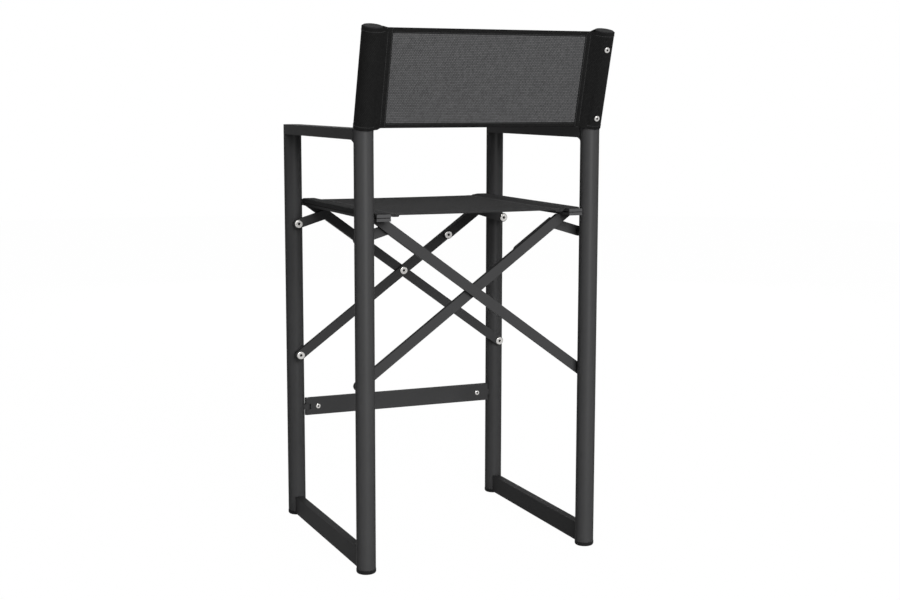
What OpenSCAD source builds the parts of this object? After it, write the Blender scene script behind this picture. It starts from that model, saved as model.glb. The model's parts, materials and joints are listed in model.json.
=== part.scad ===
// Bar-height folding director chair: two tube side frames, a pair of crossed
// flat bars at the front and at the rear, bent stay links, a fabric sling seat,
// a mesh back on leaning posts and a footrest that swings aside for folding.
// Left is +X, front is -Y, the floor is z = 0.

/* [Side frames] */
// Distance between the left and right leg axes
leg_span = 505; // [440:1:600]
// Distance between the front and rear leg axes
leg_depth = 478; // [420:1:540]
// Outer diameter of the leg tubes
leg_d = 40; // [34:0.5:46]
// Wall of the leg tubes
leg_wall = 2; // [1.2:0.1:3]
// Height of the top of the arms
arm_top = 906; // [860:1:960]
// Thickness of the arms
arm_h = 22; // [16:0.5:30]
// Radius of the weld fillet under each arm
arm_fillet = 9; // [5:0.5:20]
// Height of the runner bars
runner_h = 40; // [30:0.5:70]
// Thickness of the runner bars
runner_t = 18; // [10:0.5:24]
// Underside of the runners above the floor
runner_lift = 4; // [2:0.5:20]

/* [Back posts] */
// Lean of the back posts from upright, in degrees
post_lean = 15.7; // [8:0.1:20]
// Length of the leaning part of each post
post_len = 206; // [190:1:240]
// Radius of the post's bend, at the tube axis
bend_r = 60; // [45:1:75]
// Height of the bend's corner below the top of the arms
bend_drop = 4; // [0:0.5:8]

/* [Feet and caps] */
// Diameter of the foot flange
foot_d = 41; // [40.2:0.1:48]
// Height of the foot flange
foot_h = 9; // [5:0.5:14]
// Length of the plugs inside the tubes
plug_len = 18; // [8:1:30]
// Height of the cap on each post
cap_h = 4; // [2.5:0.5:8]

/* [Cross bars] */
// Height of the lower pivots on the legs
low_pivot = 382; // [340:1:420]
// Height of the centre pivots
centre_pivot = 566.5; // [530:0.5:590]
// Width of the flat cross bars
bar_w = 21; // [18:0.5:26]
// Thickness of the flat cross bars
bar_t = 10; // [6:0.5:12]
// Shank diameter of the pivot bolts
bolt_d = 8; // [6:0.5:10]
// Diameter of the bolt heads
head_d = 18; // [14:0.5:20]
// Height of the bolt heads
head_h = 3.5; // [2:0.25:4]
// Depth of the bolt tips behind the leg wall
bolt_grip = 7; // [3:0.5:12]
// Diameter of the spacer sleeves and washers
spacer_d = 14; // [12:0.5:18]
// Thickness of the washers between the bars
washer_t = 1.2; // [0.8:0.1:2]

/* [Stay links] */
// Height of the link pivots on the legs
link_pivot = 683; // [660:0.5:700]
// Inset of the link pivots on the bars from the middles of the seat rails
link_inset = 105; // [90:1:120]
// Length of a link's straight run along its bar
link_run = 95; // [75:1:98]
// Width of the links
link_w = 21; // [18:0.5:24]
// Thickness of the links
link_t = 6; // [4:0.5:6]

/* [Seat] */
// Width of the seat rails
rail_w = 30; // [26:0.5:36]
// Height of the seat rails
rail_h = 14; // [12:0.5:20]
// Reach of the seat rails past the leg axes
rail_over = 13; // [0:0.5:14]
// Gap between the seat rails and the legs
rail_gap = 2.5; // [2.2:0.1:5]
// Height of the fabric slot in the rails
slot_h = 2.5; // [2:0.1:4.5]
// Depth of the fabric slot, to the rod's centre
slot_depth = 11; // [8:0.5:13]
// Thickness of the caps on the rail ends
rail_cap_t = 2.5; // [1.5:0.25:4]
// Length of the cap's stub inside the rail
rail_cap_stub = 10; // [4:0.5:12]
// Height of the groove across each rail cap
groove_h = 1.8; // [1:0.1:2.5]
// Diameter of the rods that hold the seat hems
rod_d = 5; // [4:0.25:6]
// Thickness of the seat fabric
sling_t = 1.2; // [0.8:0.1:1.5]
// Sag of the seat fabric at its middle
sling_sag = 4; // [3:0.5:25]
// Distance from the seat fabric's edges to the rail ends
sling_inset = 17; // [15:0.5:30]

/* [Back] */
// Thickness of the fabric sleeves on the posts
sleeve_t = 1.2; // [0.8:0.1:2]
// Distance from the post's bend to the sleeve's lower edge
sleeve_start = 5; // [5:0.5:14]
// Thickness of the back panel
panel_t = 1.6; // [1:0.1:3]
// Distance of the back panel behind the post axes
panel_back = 1; // [0:0.5:12]
// Step from the sleeve ends to the panel's upper and lower edges
panel_step = 2; // [2:0.5:10]
// Head diameter of the sleeve screws
screw_head_d = 12; // [9:0.5:14]
// Head height of the small screws
screw_head_h = 3; // [2:0.25:4]
// Shank diameter of the small screws
screw_d = 6; // [4:0.5:7]
// Lower sleeve screw, from the post's bend
screw_low = 29; // [26:1:40]
// Distance of the upper sleeve screw below the cap's plug
screw_drop = 14; // [8:0.5:60]
// Turn of the sleeve screws outwards from straight back, in degrees
screw_turn = 0; // [0:1:30]

/* [Footrest] */
// Height of the middle of the footrest bar
rest_z = 254; // [200:0.5:300]
// Height of the footrest bar
rest_h = 40; // [28:0.5:48]
// Thickness of the footrest bar
rest_t = 12; // [10:0.5:13]
// Wall of the hollow footrest bar
rest_wall = 1.5; // [1:0.1:2.5]
// Distance of the footrest bar's middle behind the leg axes
rest_back = 6; // [4:0.5:8]
// Head diameter of the footrest screws
rest_head_d = 11.5; // [9:0.5:12]
// Distance of the footrest screws from the leg surfaces
rest_screw = 30; // [28:0.5:40]
// Distance of the hinge axis from the left leg's surface
hinge_gap = 5.75; // [5.5:0.25:9]
// Distance of the footrest bar's end from the hinge eye
hinge_clear = 2; // [1:0.5:4]
// Diameter of the hinge pin
hinge_pin_d = 5; // [4:0.25:6]
// Height of the tongues on the legs
tongue_h = 12; // [9:0.5:14]
// Thickness of the catch tongue
tongue_t = 8; // [5:0.5:9]
// Length of the catch tongue from the right leg's surface
tongue_len = 15; // [11:0.5:17]
// Length of the blocks inside the footrest bar
block_len = 32; // [26:1:50]
// Gap between the footrest's free end and the right leg
rest_end_gap = 1; // [1:0.25:5]
// Depth of the slot in the catch block
catch_depth = 22; // [20:0.5:23]
// Gap above and below the tongues
tongue_gap = 0.5; // [0.45:0.05:1]

/* [Clearances] */
// Gap between the faces of pieces that move past each other
run_gap = 0.3; // [0.2:0.05:0.5]
// Radial play of pins and bolts in their holes
pin_play = 0.05; // [0.02:0.01:0.1]
// Gap left where fixed pieces seat on a round tube
seat_gap = 0.05; // [0.02:0.01:0.1]
// Gap between fabric and what it lies on
cloth_gap = 0.15; // [0.1:0.05:0.3]

/* [Hidden] */
$fn = 64;
ARC_FN = 1080;
// Share of a bolt head that its socket takes
SOCKET_SHARE = 0.4;
// Overshoot of cuts past a face
OVER = 1;
COAT = [0.22, 0.22, 0.23];
PLASTIC = [0.08, 0.08, 0.085];
NICKEL = [0.78, 0.77, 0.75];
STEEL = [0.6, 0.6, 0.62];
SEAT_CLOTH = [0.2, 0.2, 0.21];
SLEEVE_CLOTH = [0.1, 0.1, 0.1];
MESH_CLOTH = [0.32, 0.32, 0.33];
GREY = [0.36, 0.36, 0.37];

leg_x = leg_span / 2;
leg_y = leg_depth / 2;
leg_r = leg_d / 2;
bore_r = leg_r - leg_wall;
arm_under = arm_top - arm_h;
arm_saddle = leg_r / 2;
corner_z = arm_top - bend_drop;
bend_tangent = bend_r * tan(post_lean / 2);
bend_floor = corner_z - bend_tangent;

// The model's origin lies under the middle of its box
front_reach = leg_y + foot_d / 2;
cap_reach = (post_len + cap_h) * sin(post_lean) + leg_r * cos(post_lean);
sleeve_top = post_len + cap_h / 2;
sleeve_reach = sleeve_top * sin(post_lean) + (leg_r + cloth_gap + sleeve_t) * cos(post_lean);
rear_reach = leg_y + max(cap_reach, sleeve_reach);
origin_y = (rear_reach - front_reach) / 2;

// Layers of flat pieces, counted from a leg axis towards the inside
pack_gap = washer_t + run_gap;
layer_1 = leg_r + pack_gap;
layer_2 = layer_1 + bar_t + pack_gap;
layer_3 = layer_2 + bar_t + pack_gap;

bar_slope = atan((centre_pivot - low_pivot) / leg_x);
hole_r = bolt_d / 2 + pin_play;
screw_hole_r = screw_d / 2 + pin_play;
blind_t = bar_t / 4;

rail_len = leg_depth + 2 * rail_over;
rail_bare = rail_len - 2 * rail_cap_t;
rail_x = leg_x - leg_r - rail_gap - rail_w / 2;
rail_drop = rail_h / 8;
rail_floor = centre_pivot + rail_x * tan(bar_slope) - rail_drop;
rail_top = rail_floor + rail_h;
rail_mid = rail_floor + rail_h / 2;
rail_out = rail_x + rail_w / 2;
rail_in = rail_x - rail_w / 2;
link_reach = rail_x - link_inset;
link_bar_z = centre_pivot + link_reach * tan(bar_slope);
rod_x = rail_out - slot_depth;
loop_r = rod_d / 2 + cloth_gap + sling_t;
keder_r = loop_r + cloth_gap;
sling_len = rail_len - 2 * sling_inset;

sleeve_in = leg_r + cloth_gap;
sleeve_out = sleeve_in + sleeve_t;
screw_high = post_len - plug_len - screw_drop;
panel_near = panel_back - panel_t / 2;
panel_half = leg_x - sqrt(sleeve_out * sleeve_out - panel_near * panel_near) - cloth_gap;

hinge_x = leg_x - leg_r - hinge_gap;
eye_r = rest_t / 2;
rest_front = rest_back - rest_t / 2;
rest_floor = rest_z - rest_h / 2;
rest_start = hinge_x - eye_r - hinge_clear;
rest_end = -(leg_x - leg_r - rest_end_gap);
rest_stop = rest_end + tongue_len / 2;
screw_left = leg_x - leg_r - rest_screw;
screw_right = -screw_left;
fill_h = rest_h - 2 * rest_wall - 2 * seat_gap;
fill_t = rest_t - 2 * rest_wall - 2 * seat_gap;
mouth_h = tongue_h + 2 * tongue_gap;
REACH = 4 * leg_span;

// Frames of reference

// Moves children from the middle of the feet to the model's origin
module placed() {
    translate([0, -origin_y, 0]) children();
}

// Puts children on one side: side is 1 for left and -1 for right
module on_side(side) {
    mirror([side > 0 ? 0 : 1, 0, 0]) children();
}

// Puts children at a front leg axis plane, or mirrored at the rear one.
// In this frame y runs from the leg axes towards the inside of the chair.
module at_end(rear) {
    mirror([0, rear ? 1 : 0, 0]) translate([0, -leg_y, 0]) children();
}

// Repeats children at the front and at the rear
module at_both_ends() {
    for (rear = [false, true]) at_end(rear) children();
}

// Puts children on the leaning post of the left side, z along the post
module on_post() {
    translate([leg_x, leg_y, corner_z]) rotate([-post_lean, 0, 0]) children();
}

// Extrudes an outline drawn in x and z from y = start over a thickness
module flat_plate(start, thickness) {
    translate([0, start + thickness, 0]) rotate([90, 0, 0]) linear_extrude(thickness) children();
}

// Cylinder along y
module rod_y(start, end, r) {
    translate([0, start, 0]) rotate([-90, 0, 0]) cylinder(h = end - start, r = r);
}

// Side frames

// Holes for the pivot bolts, through the inner wall of a leg
module bolt_holes() {
    for (z = [low_pivot, link_pivot]) translate([0, 0, z]) rod_y(0, leg_d, hole_r);
}

module front_leg(side) {
    on_side(side) translate([leg_x, 0, 0]) at_end(false) difference() {
        translate([0, 0, foot_h]) cylinder(h = arm_under - foot_h, r = leg_r);
        translate([0, 0, foot_h]) cylinder(h = arm_under - foot_h, r = bore_r);
        bolt_holes();
    }
}

// Holes for the sleeve screws, in the post's frame
module sleeve_screw_holes(depth) {
    for (z = [screw_low, screw_high]) translate([0, 0, z]) rotate([0, 0, -screw_turn])
        rod_y(0, depth, screw_hole_r);
}

module rear_leg(side) {
    on_side(side) translate([leg_x, 0, 0]) at_end(true) difference() {
        translate([0, 0, foot_h]) cylinder(h = bend_floor - foot_h, r = leg_r);
        translate([0, 0, foot_h]) cylinder(h = bend_floor - foot_h, r = bore_r);
        bolt_holes();
    }
}

// Bent length of the tube between a rear leg and its post
module post_bend(side) {
    on_side(side) translate([leg_x, leg_y + bend_r, bend_floor]) rotate([90, 0, -90])
        rotate_extrude(angle = post_lean) translate([bend_r, 0]) difference() {
            circle(r = leg_r);
            circle(r = bore_r);
        }
}

module back_post(side) {
    on_side(side) on_post() difference() {
        translate([0, 0, bend_tangent]) cylinder(h = post_len - bend_tangent, r = leg_r);
        translate([0, 0, bend_tangent]) cylinder(h = post_len - bend_tangent, r = bore_r);
        if (side < 0) sleeve_screw_holes(leg_d);
    }
}

// Flat arm over the front leg, seated on the rear leg with a weld fillet
module arm(side) {
    end_y = leg_y - arm_saddle;
    on_side(side) translate([leg_x, 0, 0]) difference() {
        union() {
            translate([-leg_r, -leg_y, arm_under]) cube([leg_d, leg_y + end_y, arm_h]);
            translate([0, -leg_y, arm_under]) cylinder(h = arm_h, r = leg_r);
            intersection() {
                translate([0, leg_y, arm_under]) rotate_extrude() fillet_profile();
                translate([-leg_r, 0, arm_under - arm_fillet]) cube([leg_d, end_y, arm_fillet]);
            }
        }
        translate([0, leg_y, 0]) cylinder(h = corner_z, r = leg_r + seat_gap);
        translate([0, leg_y, corner_z]) rotate([-post_lean, 0, 0]) translate([0, 0, -leg_r])
            cylinder(h = leg_d + leg_r, r = leg_r + seat_gap);
    }
}

// Hollow corner between a tube's wall and the arm's underside
module fillet_profile() {
    difference() {
        translate([leg_r - arm_saddle, -arm_fillet]) square([arm_fillet + arm_saddle, arm_fillet]);
        translate([leg_r + arm_fillet, -arm_fillet]) circle(r = arm_fillet);
    }
}

module runner(side) {
    on_side(side) translate([leg_x, 0, 0]) difference() {
        translate([-runner_t / 2, -leg_y, runner_lift]) cube([runner_t, leg_depth, runner_h]);
        for (y = [-leg_y, leg_y]) translate([0, y, 0]) {
            cylinder(h = REACH, r = leg_r + seat_gap);
            cylinder(h = foot_h + seat_gap, r = foot_d / 2 + seat_gap);
        }
    }
}

// Plug with a rounded disc, for a tube's end
module tube_plug(disc_r, disc_h, edge) {
    rotate_extrude() {
        difference() {
            square([disc_r, disc_h]);
            translate([disc_r - edge, disc_h - edge]) difference() {
                square(edge);
                circle(r = edge);
            }
        }
        translate([0, -plug_len]) square([bore_r - seat_gap, plug_len]);
    }
}

module foot(side, rear) {
    on_side(side) translate([leg_x, 0, 0]) at_end(rear)
        translate([0, 0, foot_h]) mirror([0, 0, 1]) tube_plug(foot_d / 2, foot_h, foot_h / 2);
}

module post_cap(side) {
    on_side(side) on_post() translate([0, 0, post_len]) tube_plug(leg_r, cap_h, cap_h / 2);
}

// Bolts, washers and spacers, in the frame of at_end

// Domed bolt head with a hexagon socket, from y = seat inwards
module bolt_head(seat, d, h) {
    translate([0, seat, 0]) rotate([-90, 0, 0]) difference() {
        rotate_extrude() difference() {
            square([d / 2, h]);
            translate([d / 2 - h / 2, h / 2]) difference() {
                square(h / 2);
                circle(r = h / 2);
            }
        }
        translate([0, 0, h / 2]) cylinder(h = h, d = d * SOCKET_SHARE, $fn = 6);
    }
}

// Bolt that screws into a leg and carries a flat piece up to y = far_face
module leg_bolt(far_face) {
    rod_y(bore_r - bolt_grip, far_face + run_gap, bolt_d / 2);
    bolt_head(far_face + run_gap, head_d, head_h);
}

// Sleeve round a bolt, from the leg's surface to a flat piece at y = near_face
module leg_spacer(near_face) {
    difference() {
        rod_y(0, near_face - run_gap, spacer_d / 2);
        rod_y(-OVER, near_face, hole_r);
        translate([0, 0, -leg_d]) cylinder(h = 2 * leg_d, r = leg_r + seat_gap);
    }
}

module bar_bolts(side, layer) {
    on_side(side) translate([leg_x, 0, low_pivot]) at_both_ends() leg_bolt(layer + bar_t);
}

module link_bolts(side, layer) {
    on_side(side) translate([leg_x, 0, link_pivot]) at_both_ends() leg_bolt(layer + link_t);
}

module leg_spacers(side, height, layer) {
    on_side(side) translate([leg_x, 0, height]) at_both_ends() leg_spacer(layer);
}

// Bolt fixed in the outer bar at the crossing, the inner bar turns on it
module centre_bolt() {
    rod_y(layer_1 + blind_t, layer_2 + bar_t + run_gap, bolt_d / 2);
    bolt_head(layer_2 + bar_t + run_gap, head_d, head_h);
}

module centre_washer() {
    difference() {
        rod_y(layer_2 - pack_gap, layer_2 - run_gap, bar_w / 2);
        rod_y(layer_1, layer_2 + bar_t, hole_r);
    }
}

// Cross bars, seat rails and links

// Outline of the bar that is pinned to the left leg and carries the right rail
module bar_outline() {
    run = (leg_x + rail_out) / cos(bar_slope) + bar_w;
    difference() {
        intersection() {
            translate([leg_x, low_pivot]) {
                circle(d = bar_w);
                rotate(180 - bar_slope) translate([0, -bar_w / 2]) square([run, bar_w]);
            }
            translate([-REACH, 0]) square([2 * REACH, rail_floor]);
        }
        translate([leg_x, low_pivot]) circle(r = hole_r);
    }
}

// The holes for link pins, and those for centre bolts in the outer bars, are blind
module cross_bar(side, rear, layer) {
    centre_floor = layer > layer_1 ? layer - run_gap : layer + blind_t;
    on_side(side) at_end(rear) difference() {
        flat_plate(layer, bar_t) bar_outline();
        translate([0, 0, centre_pivot]) rod_y(centre_floor, layer + bar_t + run_gap, hole_r);
        translate([-link_reach, 0, link_bar_z]) rod_y(layer + blind_t, layer + bar_t + run_gap, hole_r);
    }
}

// Rail section of the left side: two flanges, a slot that holds the seat hem
// on the outer side and a like slot on the inner side
module rail_section() {
    inner_slot = slot_depth - keder_r;
    difference() {
        translate([rail_in, rail_floor]) square([rail_w, rail_h]);
        translate([rod_x, rail_mid]) circle(r = keder_r);
        translate([rod_x, rail_mid - slot_h / 2]) square([rail_w, slot_h]);
        translate([rail_in - rail_w, rail_mid - slot_h / 2]) square([rail_w + inner_slot, slot_h]);
    }
}

module seat_rail(side) {
    on_side(side) flat_plate(-rail_bare / 2, rail_bare) rail_section();
}

// Grooved cap on a rail's front end, with a stub in the round channel
module rail_cap() {
    difference() {
        translate([rail_in, 0, rail_floor]) cube([rail_w, rail_cap_t, rail_h]);
        translate([rail_in - OVER, -OVER, rail_mid - groove_h / 2])
            cube([rail_w + 2 * OVER, OVER + rail_cap_t / 2, groove_h]);
    }
    translate([rod_x, 0, rail_mid]) rod_y(rail_cap_t / 2, rail_cap_t + rail_cap_stub, keder_r - seat_gap);
}

module rail_caps(side) {
    on_side(side) for (rear = [0, 1]) mirror([0, rear, 0]) translate([0, -rail_len / 2, 0]) rail_cap();
}

module seat_rod(side) {
    on_side(side) translate([rod_x, 0, rail_mid]) rod_y(-sling_len / 2, sling_len / 2, rod_d / 2);
}

// Half of the seat fabric's section: a loop round the rod, out through the
// slot, up the rail's side, over its top and sagging to the middle
module sling_section() {
    top = rail_top + cloth_gap;
    side_x = rail_out + cloth_gap;
    sag_r = (rail_in * rail_in + sling_sag * sling_sag) / (2 * sling_sag);
    difference() {
        union() {
            translate([rod_x, rail_mid]) circle(r = loop_r);
            translate([rod_x, rail_mid - sling_t / 2]) square([side_x + sling_t - rod_x, sling_t]);
        }
        translate([rod_x, rail_mid]) circle(r = rod_d / 2 + cloth_gap);
    }
    translate([side_x, rail_mid - sling_t / 2]) square([sling_t, top + sling_t - rail_mid + sling_t / 2]);
    translate([rail_in, top]) square([side_x + sling_t - rail_in, sling_t]);
    intersection() {
        translate([0, top + sling_t - sling_sag + sag_r]) difference() {
            circle(r = sag_r + sling_t, $fn = ARC_FN);
            circle(r = sag_r, $fn = ARC_FN);
        }
        translate([0, top - 2 * sling_sag]) square([rail_in, 2 * sling_sag + sling_t]);
    }
}

module seat_sling() {
    color(SEAT_CLOTH) for (side = [1, -1]) on_side(side)
        flat_plate(-sling_len / 2, sling_len) sling_section();
}

// Outline of the bent link between the left leg and the bar that rises to it:
// two straight runs that lap up to the corner of their outer edges
module link_outline() {
    pin = [link_reach, link_bar_z];
    bend = pin + link_run * [cos(bar_slope), sin(bar_slope)];
    foot = [leg_x, link_pivot];
    drop = atan2(foot[1] - bend[1], foot[0] - bend[0]);
    lap = link_w / 2 * tan((bar_slope - drop) / 2) - run_gap;
    difference() {
        union() {
            for (p = [pin, foot]) translate(p) circle(d = link_w);
            translate(pin) rotate(bar_slope) translate([0, -link_w / 2]) square([link_run + lap, link_w]);
            translate(foot) rotate(180 + drop) translate([0, -link_w / 2])
                square([norm(foot - bend) + lap, link_w]);
        }
        for (p = [pin, foot]) translate(p) circle(r = hole_r);
    }
}

module stay_link(side, rear, layer) {
    on_side(side) at_end(rear) flat_plate(layer, link_t) link_outline();
}

// Pin of a link at its bar: it stops short of the bar's face
module link_pin(side, rear, layer) {
    on_side(side) translate([link_reach, 0, link_bar_z]) at_end(rear) {
        rod_y(layer - washer_t, layer + link_t, bolt_d / 2);
        bolt_head(layer + link_t, head_d, head_h);
    }
}

// Back

module back_sleeve(side) {
    color(SLEEVE_CLOTH) on_side(side) on_post() difference() {
        translate([0, 0, sleeve_start]) cylinder(h = sleeve_top - sleeve_start, r = sleeve_out);
        cylinder(h = REACH, r = sleeve_in);
        if (side < 0) sleeve_screw_holes(leg_d);
    }
}

module back_panel() {
    low = sleeve_start + panel_step;
    color(MESH_CLOTH) on_post() translate([-leg_x - panel_half, panel_near, low])
        cube([2 * panel_half, panel_t, sleeve_top - panel_step - low]);
}

module sleeve_screws() {
    color(NICKEL) on_side(-1) on_post() for (z = [screw_low, screw_high])
        translate([0, 0, z]) rotate([0, 0, -screw_turn]) {
            rod_y(bore_r - bolt_grip, sleeve_out, screw_d / 2);
            bolt_head(sleeve_out, screw_head_d, screw_head_h);
        }
}

// Footrest, in the frame of at_end

// Bore for a screw through the footrest at x
module rest_bore(x) {
    translate([x, 0, rest_z]) rod_y(-leg_r, leg_r, screw_hole_r);
}

// Hollow bar, open at both ends for the blocks
module footrest_bar() {
    run = rest_start - rest_stop;
    color(COAT) at_end(false) difference() {
        translate([rest_stop, rest_front, rest_floor]) cube([run, rest_t, rest_h]);
        translate([rest_stop - OVER, rest_front + rest_wall, rest_floor + rest_wall])
            cube([run + 2 * OVER, rest_t - 2 * rest_wall, rest_h - 2 * rest_wall]);
        for (x = [screw_left, screw_right]) rest_bore(x);
    }
}

// Screws that hold the two blocks, heads towards the rear
module footrest_screws() {
    color(NICKEL) at_end(false) for (x = [screw_left, screw_right]) translate([x, 0, rest_z]) {
        rod_y(rest_front + rest_wall, rest_front + rest_t, screw_d / 2);
        bolt_head(rest_front + rest_t, rest_head_d, screw_head_h);
    }
}

// Filler inside the footrest bar, from x = low to x = high
module rest_fill(low, high) {
    translate([low, rest_back - fill_t / 2, rest_z - fill_h / 2]) cube([high - low, fill_t, fill_h]);
}

module hinge_bore() {
    translate([hinge_x, rest_back, 0]) cylinder(h = REACH, r = hinge_pin_d / 2 + pin_play);
}

// Block in the footrest's left end, with an eye above and below the leg's tongue
module hinge_block() {
    color(COAT) at_end(false) difference() {
        union() {
            rest_fill(rest_start - block_len, rest_start);
            translate([rest_start, rest_front, rest_floor]) cube([hinge_x - rest_start, rest_t, rest_h]);
            translate([hinge_x, rest_back, rest_floor]) cylinder(h = rest_h, r = eye_r);
        }
        hinge_bore();
        rest_bore(screw_left);
        translate([hinge_x - eye_r - OVER, -leg_r, rest_z - mouth_h / 2]) cube([leg_d, 2 * leg_d, mouth_h]);
    }
}

module hinge_pin() {
    color(STEEL) at_end(false) translate([hinge_x, rest_back, rest_floor])
        cylinder(h = rest_h, d = hinge_pin_d);
}

// Tongue on the left leg that the hinge pin passes through
module hinge_lug() {
    low = rest_z - tongue_h / 2;
    color(COAT) at_end(false) difference() {
        union() {
            translate([hinge_x, rest_back, low]) cylinder(h = tongue_h, r = eye_r);
            translate([hinge_x, rest_front, low]) cube([leg_x - hinge_x, rest_t, tongue_h]);
        }
        hinge_bore();
        translate([leg_x, 0, 0]) cylinder(h = REACH, r = leg_r + seat_gap);
    }
}

// Block in the footrest's right end, with jaws above and below the catch tongue
module catch_block() {
    color(COAT) at_end(false) difference() {
        union() {
            rest_fill(rest_stop, rest_stop + block_len);
            translate([rest_end, rest_front, rest_floor]) cube([rest_stop - rest_end, rest_t, rest_h]);
        }
        rest_bore(screw_right);
        translate([rest_end - OVER, -leg_r, rest_z - mouth_h / 2])
            cube([catch_depth + OVER, leg_r + rest_back + tongue_t / 2 + tongue_gap, mouth_h]);
    }
}

// Tongue on the right leg that the free end of the footrest closes over
module catch_lug() {
    color(COAT) at_end(false) difference() {
        translate([-leg_x, rest_back - tongue_t / 2, rest_z - tongue_h / 2])
            cube([leg_r + tongue_len, tongue_t, tongue_h]);
        translate([-leg_x, 0, 0]) cylinder(h = REACH, r = leg_r + seat_gap);
    }
}

color(COAT) placed() front_leg(1);  // front_leg_left
color(COAT) placed() front_leg(-1);  // front_leg_right
color(COAT) placed() rear_leg(1);  // rear_leg_left
color(COAT) placed() rear_leg(-1);  // rear_leg_right
color(COAT) placed() post_bend(1);  // post_bend_left
color(COAT) placed() post_bend(-1);  // post_bend_right
color(COAT) placed() back_post(1);  // back_post_left
color(COAT) placed() back_post(-1);  // back_post_right
color(COAT) placed() arm(1);  // arm_left
color(COAT) placed() arm(-1);  // arm_right
color(COAT) placed() runner(1);  // runner_left
color(COAT) placed() runner(-1);  // runner_right
color(PLASTIC) placed() foot(1, false);  // front_foot_left
color(PLASTIC) placed() foot(-1, false);  // front_foot_right
color(PLASTIC) placed() foot(1, true);  // rear_foot_left
color(PLASTIC) placed() foot(-1, true);  // rear_foot_right
color(PLASTIC) placed() post_cap(1);  // post_cap_left
color(PLASTIC) placed() post_cap(-1);  // post_cap_right
color(COAT) placed() cross_bar(1, false, layer_2);  // front_bar_from_left
color(COAT) placed() cross_bar(1, true, layer_2);  // rear_bar_from_left
color(COAT) placed() cross_bar(-1, false, layer_1);  // front_bar_from_right
color(COAT) placed() cross_bar(-1, true, layer_1);  // rear_bar_from_right
color(COAT) placed() seat_rail(1);  // seat_rail_left
color(COAT) placed() seat_rail(-1);  // seat_rail_right
color(STEEL) placed() seat_rod(1);  // seat_rod_left
color(STEEL) placed() seat_rod(-1);  // seat_rod_right
placed() seat_sling();
color(GREY) placed() rail_caps(1);  // rail_caps_left
color(GREY) placed() rail_caps(-1);  // rail_caps_right
color(COAT) placed() stay_link(1, false, layer_2);  // link_front_left
color(COAT) placed() stay_link(1, true, layer_2);  // link_rear_left
color(COAT) placed() stay_link(-1, false, layer_3);  // link_front_right
color(COAT) placed() stay_link(-1, true, layer_3);  // link_rear_right
color(NICKEL) placed() link_pin(1, false, layer_2);  // link_pin_front_left
color(NICKEL) placed() link_pin(1, true, layer_2);  // link_pin_rear_left
color(NICKEL) placed() link_pin(-1, false, layer_3);  // link_pin_front_right
color(NICKEL) placed() link_pin(-1, true, layer_3);  // link_pin_rear_right
color(NICKEL) placed() bar_bolts(1, layer_2);  // bar_bolts_left
color(NICKEL) placed() bar_bolts(-1, layer_1);  // bar_bolts_right
color(NICKEL) placed() link_bolts(1, layer_2);  // link_bolts_left
color(NICKEL) placed() link_bolts(-1, layer_3);  // link_bolts_right
color(PLASTIC) placed() leg_spacers(1, low_pivot, layer_2);  // bar_spacers_left
color(PLASTIC) placed() leg_spacers(-1, low_pivot, layer_1);  // bar_spacers_right
color(PLASTIC) placed() leg_spacers(1, link_pivot, layer_2);  // link_spacers_left
color(PLASTIC) placed() leg_spacers(-1, link_pivot, layer_3);  // link_spacers_right
color(NICKEL) placed() translate([0, 0, centre_pivot]) at_both_ends() centre_bolt();  // centre_bolts
color(PLASTIC) placed() translate([0, 0, centre_pivot]) at_both_ends() centre_washer();  // centre_washers
placed() back_sleeve(1);  // back_sleeve_left
placed() back_sleeve(-1);  // back_sleeve_right
placed() back_panel();
placed() sleeve_screws();
placed() footrest_bar();
placed() footrest_screws();
placed() hinge_block();
placed() hinge_pin();
placed() hinge_lug();
placed() catch_block();
placed() catch_lug();
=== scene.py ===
"""Looks of a bar-height folding director chair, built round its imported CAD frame.

The rigid pieces keep their CAD shapes and get procedural finishes. The seat sling, the two back sleeves and
the mesh back panel are new cloth surfaces, with hems, pockets and stitches. Lengths are in metres in the
frame's own axes: +X is the sitter's left, +Y the rear, +Z up.
"""

import json
import logging
import math
from collections.abc import Iterator
from dataclasses import dataclass, field
from enum import Enum

import bpy
import numpy as np
from mathutils import Matrix, Vector


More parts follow.
